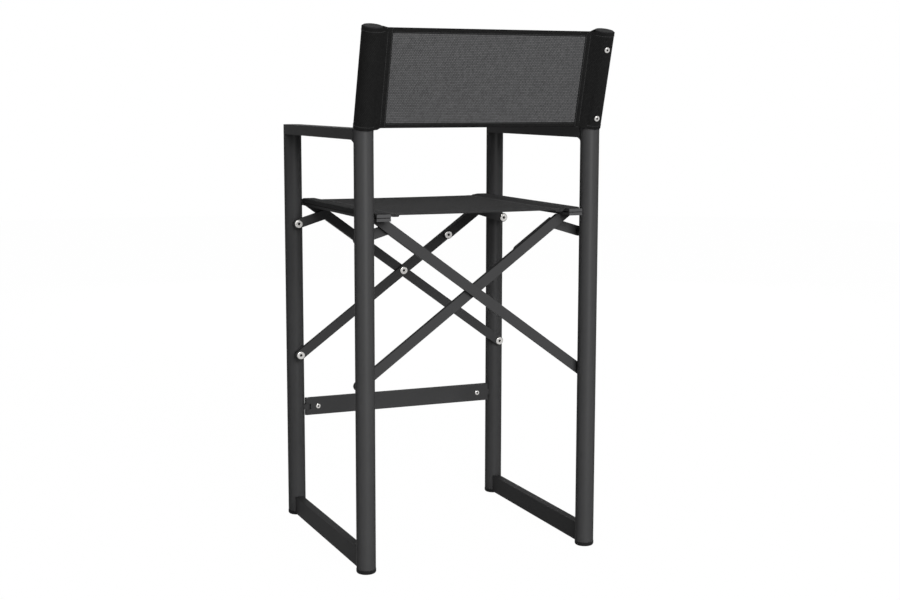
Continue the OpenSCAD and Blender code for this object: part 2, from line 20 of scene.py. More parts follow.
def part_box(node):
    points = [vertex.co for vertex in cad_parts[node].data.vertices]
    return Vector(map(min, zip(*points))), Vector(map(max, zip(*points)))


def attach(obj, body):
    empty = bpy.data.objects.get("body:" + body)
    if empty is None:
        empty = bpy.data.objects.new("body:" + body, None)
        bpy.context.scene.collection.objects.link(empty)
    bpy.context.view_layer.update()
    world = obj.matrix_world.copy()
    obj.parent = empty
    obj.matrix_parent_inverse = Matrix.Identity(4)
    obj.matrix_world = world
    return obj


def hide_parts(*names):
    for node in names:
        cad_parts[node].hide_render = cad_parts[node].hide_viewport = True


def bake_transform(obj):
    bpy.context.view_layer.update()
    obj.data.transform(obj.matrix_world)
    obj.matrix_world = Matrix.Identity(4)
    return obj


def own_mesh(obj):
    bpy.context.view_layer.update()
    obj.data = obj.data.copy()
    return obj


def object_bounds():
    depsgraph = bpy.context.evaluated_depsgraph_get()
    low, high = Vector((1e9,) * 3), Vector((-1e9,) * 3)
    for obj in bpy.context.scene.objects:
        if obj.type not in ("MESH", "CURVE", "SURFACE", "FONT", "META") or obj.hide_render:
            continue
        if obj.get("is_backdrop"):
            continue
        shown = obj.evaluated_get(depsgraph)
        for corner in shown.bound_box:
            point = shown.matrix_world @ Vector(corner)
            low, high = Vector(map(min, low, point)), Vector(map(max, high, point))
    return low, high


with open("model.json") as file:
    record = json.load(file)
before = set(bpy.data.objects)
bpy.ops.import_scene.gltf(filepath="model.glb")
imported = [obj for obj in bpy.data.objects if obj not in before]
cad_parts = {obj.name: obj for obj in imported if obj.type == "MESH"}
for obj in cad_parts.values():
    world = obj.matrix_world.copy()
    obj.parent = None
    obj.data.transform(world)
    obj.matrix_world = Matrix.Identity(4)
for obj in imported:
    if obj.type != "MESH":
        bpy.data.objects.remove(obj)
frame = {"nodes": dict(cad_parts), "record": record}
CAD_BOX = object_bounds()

Array = np.ndarray
Values = np.ndarray | float
Piece = bpy.types.Object
Tree = bpy.types.NodeTree
Node = bpy.types.Node
Pin = bpy.types.NodeSocket
Rows = list[tuple[Array, Array]]
Colour = tuple[float, float, float]
Place = tuple[float, float, float]

LOG = logging.getLogger("director_chair")
MM = 0.001
BLACK = (0, 0, 0, 1)
WHITE = (1, 1, 1, 1)
# Angle in degrees past which an edge of a shell stays sharp
CREASE = 40


class Way(Enum):
    """A way from the middle of the chair, with the sign of its axis."""

    @property
    def word(self) -> str:
        """Its name, as the CAD nodes use it."""
        return self.name.lower()


class Side(Way):
    """A side of the chair, with the sign of its X."""

    LEFT = 1
    RIGHT = -1


class End(Way):
    """An end of the chair, with the sign of its Y."""

    FRONT = -1
    REAR = 1


# Meshes


def joined(*parts: Values) -> Array:
    """Arrays that fit each other, side by side along a new last axis."""
    return np.stack(np.broadcast_arrays(*parts), axis=-1)


def quads(index: Array) -> Array:
    """Faces of a grid: each cell joins four neighbouring indices.

    Args:
        index: Vertex numbers, of shape (rows, columns).
    Returns:
        Vertex numbers of the faces, of shape (cells, 4).
    """
    return joined(index[:-1, :-1], index[1:, :-1], index[1:, 1:], index[:-1, 1:]).reshape(-1, 4)


def tube_faces(rings: int, count: int) -> Array:
    """Faces of several like tubes of six-sided rings: their sides, and two quads on each end.

    Args:
        rings: Number of rings of a tube.
        count: Number of tubes, whose vertices follow each other.
    Returns:
        Vertex numbers of the faces, of shape (n, 4).
    """
    ring = np.arange(6 * rings).reshape(rings, 6)
    ends = np.array([[0, 1, 2, 3], [0, 3, 4, 5]])
    sides = quads(np.concatenate((ring, ring[:, :1]), axis=1))
    faces = np.concatenate((sides, ring[0][ends], ring[-1][ends[:, ::-1]]))
    return (faces[None] + np.arange(count)[:, None, None] * ring.size).reshape(-1, 4)


def rim(index: Array) -> Array:
    """Vertex numbers round the border of a grid, in order: first row, last column, last row, first column."""
    return np.concatenate((index[0, :-1], index[:-1, -1], index[-1, :0:-1], index[:0:-1, 0]))


def signed_volume(verts: Array, faces: Array) -> float:
    """Volume inside a closed skin of quads: a sixth of the sum of the triangles' triple products."""
    a, b, c, d = (verts[faces[:, i]] for i in range(4))
    return float((np.cross(a, b) * c + np.cross(a, c) * d).sum() / 6)


def put(name: str, data: bpy.types.ID) -> Piece:
    """New object in the scene."""
    piece = bpy.data.objects.new(name, data)
    bpy.context.scene.collection.objects.link(piece)
    return piece


def put_mesh(name: str, verts: Array, faces: Array, uv: Array, crease: float) -> Piece:
    """Make an object from whole arrays, with outward faces, smooth shading and a UV map in metres.

    Args:
        name: Name of the piece.
        verts: Corner points, of shape (n, 3).
        faces: Vertex numbers, of shape (m, 4).
        uv: Place of each corner in the cloth, of shape (n, 2).
        crease: Angle in degrees past which an edge stays sharp.
    Returns:
        The object, linked to the scene, at the origin.
    """
    if signed_volume(verts, faces) < 0:
        faces = faces[:, ::-1]
    mesh = bpy.data.meshes.new(name)
    mesh.from_pydata(verts.tolist(), [], faces.tolist())
    mesh.polygons.foreach_set("use_smooth", np.ones(len(faces), bool))
    corners = np.empty(len(mesh.loops), np.int32)
    mesh.loops.foreach_get("vertex_index", corners)
    layer = mesh.uv_layers.new(name="cloth")
    layer.data.foreach_set("uv", uv[corners].astype(np.float32).ravel())
    mesh.set_sharp_from_angle(angle=math.radians(crease))
    mesh.update()
    return put(name, mesh)


def closed_shell(name: str, outer: Array, inner: Array, uv: Array) -> Piece:
    """Join two like grids into one closed skin: both faces, and a strip round their rims.

    Args:
        name: Name of the piece.
        outer: Points of the outer face, of shape (rows, columns, 3).
        inner: Points of the inner face.
        uv: Place of each point in the cloth.
    Returns:
        The new object.
    """
    rows, columns = outer.shape[:2]
    top = np.arange(rows * columns).reshape(rows, columns)
    edge = rim(top)
    below = edge + rows * columns
    strip = joined(np.roll(edge, -1), edge, below, np.roll(below, -1))
    faces = np.concatenate((quads(top), quads(top + rows * columns)[:, ::-1], strip))
    verts = np.concatenate((outer.reshape(-1, 3), inner.reshape(-1, 3)))
    return put_mesh(name, verts, faces, np.concatenate((uv.reshape(-1, 2),) * 2), CREASE)


def round_path(points: Array, cuts: int = 4) -> Array:
    """Round a polyline: each pass cuts its corners at a quarter and three quarters of each edge.

    Args:
        points: Corners of the path, of shape (n, 2).
        cuts: Number of passes.
    Returns:
        The rounded path, with the same two ends.
    """
    for _ in range(cuts):
        low, high = points[:-1], points[1:]
        cut = np.stack((0.75 * low + 0.25 * high, 0.25 * low + 0.75 * high), axis=1).reshape(-1, 2)
        points = np.concatenate((points[:1], cut, points[-1:]))
    return points


def run_along(points: Array) -> Array:
    """Distance of each point of a path from its start, along the path."""
    steps = np.linalg.norm(np.diff(points, axis=0), axis=1)
    return np.concatenate(([0.0], np.cumsum(steps)))


def at_runs(values: Array, run: Array, even: Array) -> Array:
    """Rows of values at new distances along a path, by linear interpolation of its run."""
    return joined(*(np.interp(even, run, column) for column in values.T))


def resample(points: Array, step: float) -> Array:
    """Points at even distances along a path."""
    run = run_along(points)
    return at_runs(points, run, np.linspace(0, run[-1], max(2, int(round(run[-1] / step)) + 1)))


def unit(vectors: Array) -> Array:
    """Rows scaled to length one."""
    return vectors / np.linalg.norm(vectors, axis=1, keepdims=True)


def path_normals(points: Array) -> Array:
    """Unit normals of a flat path: its central differences turned by a quarter turn to the left."""
    along = unit(np.gradient(points, axis=0))
    return joined(-along[:, 1], along[:, 0])


def rise(x: Array, low: float, high: float) -> Array:
    """Smooth step of x: 0 up to low, 1 from high on, and a cubic with flat ends between them."""
    t = np.clip((x - low) / (high - low), 0, 1)
    return t * t * (3 - 2 * t)


@dataclass(frozen=True)
class Thread:
    """A row of lock stitches, each a short bead of thread that dips into the cloth at its ends."""

    length: float = 2.5 * MM
    pitch: float = 3.2 * MM
    width: float = 0.8 * MM
    height: float = 0.5 * MM
    rings: int = 5
    blunt: float = 0.04
    crease: float = 60

    def bead(self) -> Array:
        """One stitch: rings of six points along an arch, whose width and height shrink to its ends.

        Returns:
            Points in (along, across, up).
        """
        s = np.linspace(-1, 1, self.rings)[:, None]
        turn = np.linspace(0, 2 * np.pi, 6, endpoint=False)[None, :]
        thick = np.sqrt(1 + self.blunt - s * s)
        across = thick * np.cos(turn) * self.width / 2
        up = (1 - s * s) * self.height / 2 + thick * np.sin(turn) * self.height / 2
        return joined(s * self.length / 2, across, up).reshape(-1, 3)

    def sew(self, name: str, lines: Rows) -> Piece:
        """Lay beads along lines on the cloth, at even distances.

        Args:
            name: Name of the piece.
            lines: For each row, its points of shape (n, 3) and the cloth's outward normals there.
        Returns:
            One object with all the stitches.
        """
        places, alongs, ups = [], [], []
        for points, normals in lines:
            run = run_along(points)
            even = np.arange(self.pitch / 2, run[-1], self.pitch)
            places.append(at_runs(points, run, even))
            alongs.append(unit(at_runs(np.gradient(points, run, axis=0), run, even)))
            ups.append(unit(at_runs(normals, run, even)))
        place, along, up = (np.concatenate(v) for v in (places, alongs, ups))
        axes = np.stack((along, np.cross(up, along), up), axis=1)
        verts = (place[:, None, :] + np.einsum("pk,nkc->npc", self.bead(), axes)).reshape(-1, 3)
        return put_mesh(name, verts, tube_faces(self.rings, len(place)), verts[:, :2], self.crease)


# Shader groups and finishes


@dataclass(frozen=True)
class Nodes:
    """Short hand for building a node tree."""

    tree: Tree

    def add(self, kind: str, inputs: dict | None = None, **settings: object) -> Node:
        """Add a node.

        Args:
            kind: Type name of the node.
            inputs: Values or sockets for its inputs, by name or number.
            settings: Properties of the node.
        Returns:
            The node.
        """
        node = self.tree.nodes.new(kind)
        for key, value in settings.items():
            setattr(node, key, value)
        for key, value in (inputs or {}).items():
            if isinstance(value, Pin):
                self.link(value, node, key)
            else:
                node.inputs[key].default_value = value
        return node

    def link(self, socket: Pin, node: Node, key: str | int) -> None:
        """Feed a socket into an input of a node."""
        self.tree.links.new(socket, node.inputs[key])

    def group(self, tree: Tree, **inputs: object) -> bpy.types.bpy_prop_collection:
        """Outputs of a shared group on values or sockets."""
        return self.add("ShaderNodeGroup", inputs, node_tree=tree).outputs

    def math(self, operation: str, *values: object) -> Pin:
        """Result socket of a Math node on values or sockets."""
        return self.add("ShaderNodeMath", dict(enumerate(values)), operation=operation).outputs[0]

    def mixed(self, factor: object, a: object, b: object) -> Pin:
        """Colour socket that goes from a to b with factor."""
        node = self.add("ShaderNodeMix", {0: factor, 6: a, 7: b}, data_type="RGBA")
        return node.outputs[2]


def new_group(name: str, inputs: dict[str, float], outputs: list[str]) -> tuple[Nodes, Node, Node]:
    """Start a shader node group with a vector and number inputs.

    Args:
        name: Name of the group.
        inputs: Number inputs with their defaults; a vector input named Place comes first.
        outputs: Names of the number outputs.
    Returns:
        The group's builder, its input node and its output node.
    """
    group = bpy.data.node_groups.new(name, "ShaderNodeTree")
    group.interface.new_socket("Place", in_out="INPUT", socket_type="NodeSocketVector")
    for key, value in inputs.items():
        group.interface.new_socket(key, in_out="INPUT", socket_type="NodeSocketFloat").default_value = value
    for key in outputs:
        group.interface.new_socket(key, in_out="OUTPUT", socket_type="NodeSocketFloat")
    build = Nodes(group)
    return build, build.add("NodeGroupInput"), build.add("NodeGroupOutput")


def grain_group() -> Tree:
    """Fine grain and slow drift: two noises, one at the grain's size and one sixty times larger.

    Returns:
        The group, with the outputs Grain and Drift from 0 to 1.
    """
    build, given, out = new_group("grain", {"Size": 0.0006}, ["Grain", "Drift"])
    fine = build.math("DIVIDE", 1.0, given.outputs["Size"])
    noises = {"Grain": (fine, 2.0, 0.6), "Drift": (build.math("DIVIDE", fine, 60.0), 3.0, 0.5)}
    for key, (scale, detail, rough) in noises.items():
        inputs = {"Vector": given.outputs["Place"], "Scale": scale, "Detail": detail, "Roughness": rough}
        build.link(build.add("ShaderNodeTexNoise", inputs).outputs["Fac"], out, key)
    return build.tree


def weave_group() -> Tree:
    """Plain weave: threads along two directions pass over each other in turn, like a chequer board.

    In each cell the thread on top has the height of a half sine across it, slightly crowned along it. The gap
    is 1 where both threads are lower than a threshold, in the corners between them. Each short length of a
    thread, counted in cells, has a shade of its own.

    Returns:
        The group, with the outputs Height, Over, Gap and Shade from 0 to 1.
    """
    names = ["Height", "Over", "Gap", "Shade"]
    build, given, out = new_group("weave", {"Pitch": 0.001, "Ratio": 1.0, "Opening": 0.2}, names)
    parts = build.add("ShaderNodeSeparateXYZ", {0: given.outputs["Place"]})
    tall = build.math("MULTIPLY", given.outputs["Pitch"], given.outputs["Ratio"])
    u = build.math("DIVIDE", parts.outputs[0], given.outputs["Pitch"])
    v = build.math("DIVIDE", parts.outputs[1], tall)
    across = [build.math("ABSOLUTE", build.math("SINE", build.math("MULTIPLY", x, math.pi))) for x in (u, v)]
    cells = build.math("ADD", build.math("FLOOR", u), build.math("FLOOR", v))
    over = build.math("FLOORED_MODULO", cells, 2.0)
    crown = [build.math("MULTIPLY_ADD", x, 0.3, 0.7) for x in across]
    heights, shades = [], []
    for thread, along, length in ((0, 1, 2.0), (1, 0, 2.5)):
        heights.append(build.math("MULTIPLY", across[thread], crown[along]))
        number = build.math("FLOOR", (u, v)[thread])
        piece = build.math("FLOOR", build.math("DIVIDE", (u, v)[along], length))
        cell = build.add("ShaderNodeCombineXYZ", {"X": number, "Y": piece}).outputs[0]
        noise = build.add("ShaderNodeTexWhiteNoise", {"Vector": cell}, noise_dimensions="2D")
        shades.append(noise.outputs["Value"])
    under = build.math("SUBTRACT", 1.0, over)
    height, shade = (
        build.math("ADD", build.math("MULTIPLY", warp, under), build.math("MULTIPLY", weft, over))
        for warp, weft in (heights, shades)
    )
    gap = build.math("LESS_THAN", build.math("MAXIMUM", *across), given.outputs["Opening"])
    for key, socket in zip(names, (height, over, gap, shade)):
        build.link(socket, out, key)
    return build.tree


@dataclass(frozen=True)
class SurfaceKit:
    """The shader groups that the finishes share."""

    grain: Tree
    weave: Tree


def opaque(colour: Colour) -> tuple[float, float, float, float]:
    """Colour with full alpha."""
    return (*colour, 1.0)


@dataclass(frozen=True)
class Finish:
    """A named finish: a base colour, a roughness and a shallow relief."""

    name: str
    colour: Colour
    roughness: float
    specular: float = 0.5
    relief: float = 0.1
    depth: float = 0.02 * MM

    def start(self) -> tuple[bpy.types.Material, Nodes, Node]:
        """Start a material with the finish's plain values.

        Returns:
            The material, its builder and its Principled shader.
        """
        material = bpy.data.materials.new(self.name)
        material.use_nodes = True
        shader = material.node_tree.nodes["Principled BSDF"]
        shader.inputs["Base Color"].default_value = opaque(self.colour)
        shader.inputs["Roughness"].default_value = self.roughness
        shader.inputs["Specular IOR Level"].default_value = self.specular
        return material, Nodes(material.node_tree), shader

    def tones(self, spread: float) -> list[tuple[float, ...]]:
        """The base colour darkened and lightened by a share of itself."""
        return [opaque(tuple(min(1.0, c * (1 + way * spread)) for c in self.colour)) for way in (-1, 1)]

    def emboss(self, build: Nodes, shader: Node, height: Pin) -> None:
        """Let a height stand out of the surface by the finish's relief and depth."""
        inputs = {"Strength": self.relief, "Distance": self.depth, "Height": height}
        build.link(build.add("ShaderNodeBump", inputs).outputs[0], shader, "Normal")

    def material(self, kit: SurfaceKit) -> bpy.types.Material:
        """The finished material."""
        raise NotImplementedError


@dataclass(frozen=True)
class GrainedFinish(Finish):
    """Powder coat, moulded plastic or metal: grain in the relief, drift in the colour and the gloss, and
    painted shade on faces seen edge-on.
    """

    grain_size: float = 0.5 * MM
    drift: float = 0.12
    gloss_drift: float = 0.1
    metallic: float = 0.0
    # Share of painted shade that darkens faces seen edge-on, and how sharply it grows towards them
    edge: float = 0.0
    edge_power: float = 3.0

    def material(self, kit: SurfaceKit) -> bpy.types.Material:
        """Colour and roughness drift slowly, the grain is a shallow bump, and painted shade darkens faces
        seen edge-on.

        Args:
            kit: The shared groups.
        Returns:
            The finished material.
        """
        material, build, shader = self.start()
        shader.inputs["Metallic"].default_value = self.metallic
        place = build.add("ShaderNodeTexCoord").outputs["Object"]
        grain = build.group(kit.grain, Place=place, Size=self.grain_size)
        slow = build.math("MULTIPLY", grain["Drift"], 0.5)
        speck = build.math("MULTIPLY_ADD", grain["Grain"], 0.5, slow)
        # Painted shade: the colour goes towards black on faces seen edge-on
        facing = build.add("ShaderNodeLayerWeight", {"Blend": 0.5}).outputs["Facing"]
        shade = build.math("MULTIPLY", build.math("POWER", facing, self.edge_power), self.edge)
        colour = build.mixed(shade, build.mixed(speck, *self.tones(self.drift)), BLACK)
        build.link(colour, shader, "Base Color")
        low = self.roughness - self.gloss_drift / 2
        build.link(build.math("MULTIPLY_ADD", grain["Drift"], self.gloss_drift, low), shader, "Roughness")
        self.emboss(build, shader, grain["Grain"])
        return material


@dataclass(frozen=True)
class WovenFinish(Finish):
    """Woven cloth: threads in relief, two thread colours, painted shade in the hollows between the threads,
    and for a mesh open corners between the threads.
    """

    specular: float = 0.05
    relief: float = 0.4
    depth: float = 0.2 * MM
    pitch: float = 1.75 * MM
    ratio: float = 1.0
    thread_tone: float = 0.7
    # Share of the cloth colour left in the painted shade of the hollows between threads
    hollow_tone: float = 0.35
    over_share: float = 0.5
    shade_share: float = 0.35
    drift_share: float = 0.15
    fuzz: float = 0.2
    opening: float = 0.0

    def material(self, kit: SurfaceKit) -> bpy.types.Material:
        """The weave follows the cloth's own map; grain makes the threads uneven, and painted shade darkens
        their low parts.

        Args:
            kit: The shared groups.
        Returns:
            The finished material.
        """
        material, build, shader = self.start()
        place = build.add("ShaderNodeUVMap", uv_map="cloth").outputs[0]
        weave = build.group(kit.weave, Place=place, Pitch=self.pitch, Ratio=self.ratio, Opening=self.opening)
        grain = build.group(kit.grain, Place=place, Size=self.pitch / 3)
        slow = build.math("MULTIPLY", grain["Drift"], self.drift_share)
        own = build.math("MULTIPLY_ADD", weave["Shade"], self.shade_share, slow)
        tone = build.math("MULTIPLY_ADD", weave["Over"], self.over_share, own)
        threads = build.mixed(tone, *self.tones(self.thread_tone))
        # Painted shade: the low parts of the threads get a darker copy of the cloth colour
        hollow_shade = opaque(tuple(c * self.hollow_tone for c in self.colour))
        build.link(build.mixed(weave["Height"], hollow_shade, threads), shader, "Base Color")
        self.emboss(build, shader, build.math("MULTIPLY_ADD", grain["Grain"], self.fuzz, weave["Height"]))
        if self.opening > 0:
            build.link(build.math("SUBTRACT", 1.0, weave["Gap"]), shader, "Alpha")
        return material


FINISHES: dict[str, Finish] = {
    # The edge of coat and plastic is painted shade on faces seen edge-on
    "coat": GrainedFinish(
        "charcoal_powder_coat", (0.045, 0.045, 0.0457), 0.45,
        specular=0.01, relief=0.25, depth=0.06 * MM, grain_size=0.9 * MM, edge=0.9,
    ),
    "plastic": GrainedFinish(
        "black_moulded_plastic", (0.014, 0.014, 0.0145), 0.55,
        specular=0.03, relief=0.2, depth=0.05 * MM, grain_size=0.7 * MM, edge=0.8,
    ),
    "cap_grey": GrainedFinish(
        "grey_rail_caps", (0.062, 0.062, 0.0635), 0.5,
        specular=0.06, relief=0.2, depth=0.05 * MM, grain_size=0.7 * MM,
    ),
    "nickel": GrainedFinish("bright_nickel", (0.54, 0.53, 0.515), 0.24, drift=0.05, metallic=1.0),
    "steel": GrainedFinish(
        "plain_steel_rod", (0.45, 0.45, 0.46), 0.35, relief=0.15, depth=0.03 * MM, drift=0.08, metallic=1.0
    ),
    "seat_cloth": WovenFinish("charcoal_sling_weave", (0.0405, 0.0405, 0.041), 0.85, specular=0.03),
    "sleeve_cloth": WovenFinish("black_sleeve_weave", (0.0115,) * 3, 0.85, ratio=1.6, thread_tone=0.9),
    "mesh_cloth": WovenFinish(
        "grey_back_mesh", (0.08, 0.08, 0.0815), 0.6, specular=0.1, ratio=1.9, thread_tone=0.8, opening=0.16
    ),
    # Painted shade: near-black plates on the floors of sockets and grooves
    "socket": GrainedFinish("dark_socket", (0.008,) * 3, 0.6, specular=0.1),
    "thread": GrainedFinish(
        "black_sewing_thread", (0.02, 0.02, 0.0205), 0.6, relief=0.2, grain_size=0.3 * MM
    ),
}


class Wardrobe:
    """All finishes as materials, made once."""

    def __init__(self) -> None:
        """Build the shared groups and every material."""
        kit = SurfaceKit(grain_group(), weave_group())
        self.materials = {slot: finish.material(kit) for slot, finish in FINISHES.items()}

    def dress(self, piece: Piece, finish: str, slot: str | None = None) -> None:
        """Give a piece a finish.

        Args:
            piece: The object.
            finish: Key of the finish.
            slot: The record's slot that it belongs to, where it is a new piece; not used.
        """
        piece.data.materials.clear()
        piece.data.materials.append(self.materials[finish])

    def dress_frame(self) -> None:
        """Give each CAD node the finish of its slot in the record."""
        for part in frame["record"]["subparts"]:
            self.dress(frame["nodes"][part["node"]], part["material_slot"])


# Seat


@dataclass
class SeatSling:
    """Seat fabric: a loop round each rod, out of the rail's slot, over the rail and sagging to the middle."""

    wardrobe: Wardrobe
    cloth: float = 1.2 * MM
    gap: float = 0.15 * MM
    sag: float = 2.2 * MM
    dip: float = 3.6 * MM
    dip_start: float = 6 * MM
    dip_run: float = 13 * MM
    turn_in: float = 1.6 * MM
    fold_cloth: float = 1.3 * MM
    pocket_run: float = 25 * MM
    pocket_cloth: float = 3.4 * MM
    pocket_rows: tuple = (3 * MM, 7 * MM)
    hem_run: float = 14 * MM
    hem_cloth: float = 0.9 * MM
    hem_rows: tuple = (2 * MM, 5 * MM)
    tight_share: float = 0.3
    tight_run: float = 120 * MM
    step: float = 2.0 * MM
    rows: int = 97
    rail: Array = field(init=False)
    rod: Array = field(init=False)
    ends: tuple = field(init=False)

    def __post_init__(self) -> None:
        """Take the places of the left rail and its rod, and the fabric's two ends, from the frame."""
        self.rail = np.array(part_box("seat_rail_left"))
        self.rod = np.array(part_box("seat_rod_left"))
        low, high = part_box("seat_sling")
        self.ends = (low[1], high[1])

    def half_path(self) -> Array:
        """Section of the left half, as a path in X and Z from the rod to the middle of the seat.

        Three quarters of a circle round the rod, a straight run out of the slot, up the rail's side, over its
        top, a short drop inside the rail and a parabola down to the middle.

        Returns:
            Points of the cloth's middle surface, of shape (n, 2).
        """
        off = self.gap + self.cloth / 2
        rod_x, rod_z = ((self.rod[0] + self.rod[1]) / 2)[[0, 2]]
        radius = (self.rod[1][2] - self.rod[0][2]) / 2 + off
        turn = np.radians(np.linspace(-40, -320, 29))
        loop = joined(rod_x + radius * np.cos(turn), rod_z + radius * np.sin(turn))
        in_x, out_x, top_z = self.rail[0][0], self.rail[1][0], self.rail[1][2] + off + self.fold_cloth
        side_x, turn_in = out_x + off, self.turn_in
        climb = np.array([
            [rod_x + 1.9 * radius, rod_z], [out_x - 1 * MM, rod_z], [side_x, rod_z], [side_x, rod_z + 2 * MM],
            [side_x, top_z - turn_in], [side_x, top_z], [out_x - turn_in, top_z], [in_x + 12 * MM, top_z],
        ])
        x = np.linspace(in_x + self.dip_start, 0, 60)
        dip = self.dip * rise(in_x - x, -self.dip_start, self.dip_run)
        level = np.minimum(top_z - dip - self.sag * (1 - np.clip(x / in_x, 0, 1) ** 2), top_z)
        corner = round_path(np.concatenate((loop[-1:], climb)))
        return np.concatenate((loop[:-1], corner, joined(x, level)))

    def section(self) -> tuple[Array, Array]:
        """Whole section from the left rod to the right rod, at even steps.

        Returns:
            Points in X and Z, and their normals, which point up at the middle.
        """
        half = resample(self.half_path(), self.step)
        whole = np.concatenate((half[:-1], half[::-1] * np.array([-1, 1])))
        return whole, -path_normals(whole)

    def layers(self, path: Array, y: Array) -> Array:
        """Extra cloth under the fabric: a fold on each rail, a pocket beside it, and a hem at each end.

        Args:
            path: Points of the section, in X and Z.
            y: Y of the rows.
        Returns:
            Extra thickness, of shape (rows, points).
        """
        inside, outside = self.rail[0][0] - np.abs(path[:, 0]), self.rail[1][0] - np.abs(path[:, 0])
        over_rail = (path[:, 1] > self.rail[1][2] + self.cloth) & (inside < 0)
        fold = np.where(over_rail, rise(-inside, 0, 3 * MM), 0) * rise(outside, 1 * MM, 4 * MM)
        free = rise(inside, 1 * MM, 4 * MM)
        pocket_end = rise(inside, self.pocket_run - 2.5 * MM, self.pocket_run)
        pocket = rise(inside, 3 * MM, 9 * MM) * (1 - pocket_end)
        to_end = np.minimum(y - self.ends[0], self.ends[1] - y)
        hem = 1 - rise(to_end, self.hem_run - 1 * MM, self.hem_run)
        across = self.fold_cloth * fold + self.pocket_cloth * pocket
        return across + self.hem_cloth * hem[:, None] * free

    def row_places(self) -> Array:
        """Rows of the fabric, closer together at the hems' edges.

        Returns:
            Y of the rows.
        """
        low, high = self.ends
        hem = np.array([0, 0.4, self.hem_run / MM - 1, self.hem_run / MM - 0.5, self.hem_run / MM]) * MM
        middle = np.linspace(low + self.hem_run + 2 * MM, high - self.hem_run - 2 * MM, self.rows)
        return np.concatenate((low + hem, middle, (high - hem)[::-1]))

    def ease(self, y: Array) -> Array:
        """Share of the sag along the seat: slightly less at the tight hems than in the middle."""
        to_end = np.minimum(y - self.ends[0], self.ends[1] - y)
        return self.tight_share + (1 - self.tight_share) * rise(to_end, 0, self.tight_run)

    def surface(self) -> tuple[Array, Array, Array, Array]:
        """Upper face of the fabric: the section carried along Y, its sag scaled along the way.

        Returns:
            Points of shape (rows, points, 3), the section and its normals, and Y of the rows.
        """
        path, normal = self.section()
        y = self.row_places()
        top = path + normal * self.cloth / 2
        fall = -self.sag * (1 - np.clip(np.abs(path[:, 0]) / self.rail[0][0], 0, 1) ** 2)
        z = top[:, 1] - (1 - self.ease(y))[:, None] * fall
        return joined(top[:, 0], y[:, None], z), path, normal, y

    def build(self) -> None:
        """Make the fabric and its stitches in place, and hide the CAD sling."""
        upper, path, normal, y = self.surface()
        thick = self.cloth + self.layers(path, y)
        under = upper.copy()
        under[..., ::2] -= normal * thick[..., None]
        run = run_along(path)
        seat = closed_shell("seat_fabric", upper, under, joined(run, y[:, None]))
        self.wardrobe.dress(seat, "seat_cloth", "seat_cloth")
        stitches = self.stitches()
        self.wardrobe.dress(stitches, "thread", "seat_cloth")
        start, end = (self.rail[0][0], 0, self.rail[1][2]), (-self.rail[0][0], 0, self.rail[1][2])
        for piece in (seat, stitches):
            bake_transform(piece)
            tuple(start)
            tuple(end)
        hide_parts("seat_sling")

    def stitches(self) -> Piece:
        """Rows of stitches: two along each pocket and two along each hem, on the upper face.

        Returns:
            The stitches as one object.
        """
        upper, path, normal, y = self.surface()
        x, in_x = path[:, 0], self.rail[0][0]
        ups = joined(normal[:, 0], 0.0, normal[:, 1])
        free = np.flatnonzero(np.abs(x) < in_x - 4 * MM)
        lines = []
        for margin in self.pocket_rows:
            for side in Side:
                column = int(np.argmin(np.abs(x - side.value * (in_x - (self.pocket_run - margin)))))
                lines.append((upper[:, column], np.broadcast_to(ups[column], (len(y), 3))))
        for end in End:
            for margin in self.hem_rows:
                level = self.ends[(end.value + 1) // 2] - end.value * (self.hem_run - margin)
                height = self.row_height(upper, y, level)[free]
                lines.append((joined(upper[:, free, 0].mean(0), level, height), ups[free]))
        return Thread().sew("seat_stitches", lines)

    @staticmethod
    def row_height(upper: Array, y: Array, level: float) -> Array:
        """Heights of the upper face along a line of constant Y, between its two nearest rows.

        Args:
            upper: Points of the upper face.
            y: Y of its rows.
            level: Y of the line.
        Returns:
            A height for each point of the section.
        """
        after = int(np.clip(np.searchsorted(y, level), 1, len(y) - 1))
        share = (level - y[after - 1]) / (y[after] - y[after - 1])
        return (1 - share) * upper[after - 1, :, 2] + share * upper[after, :, 2]


# Back


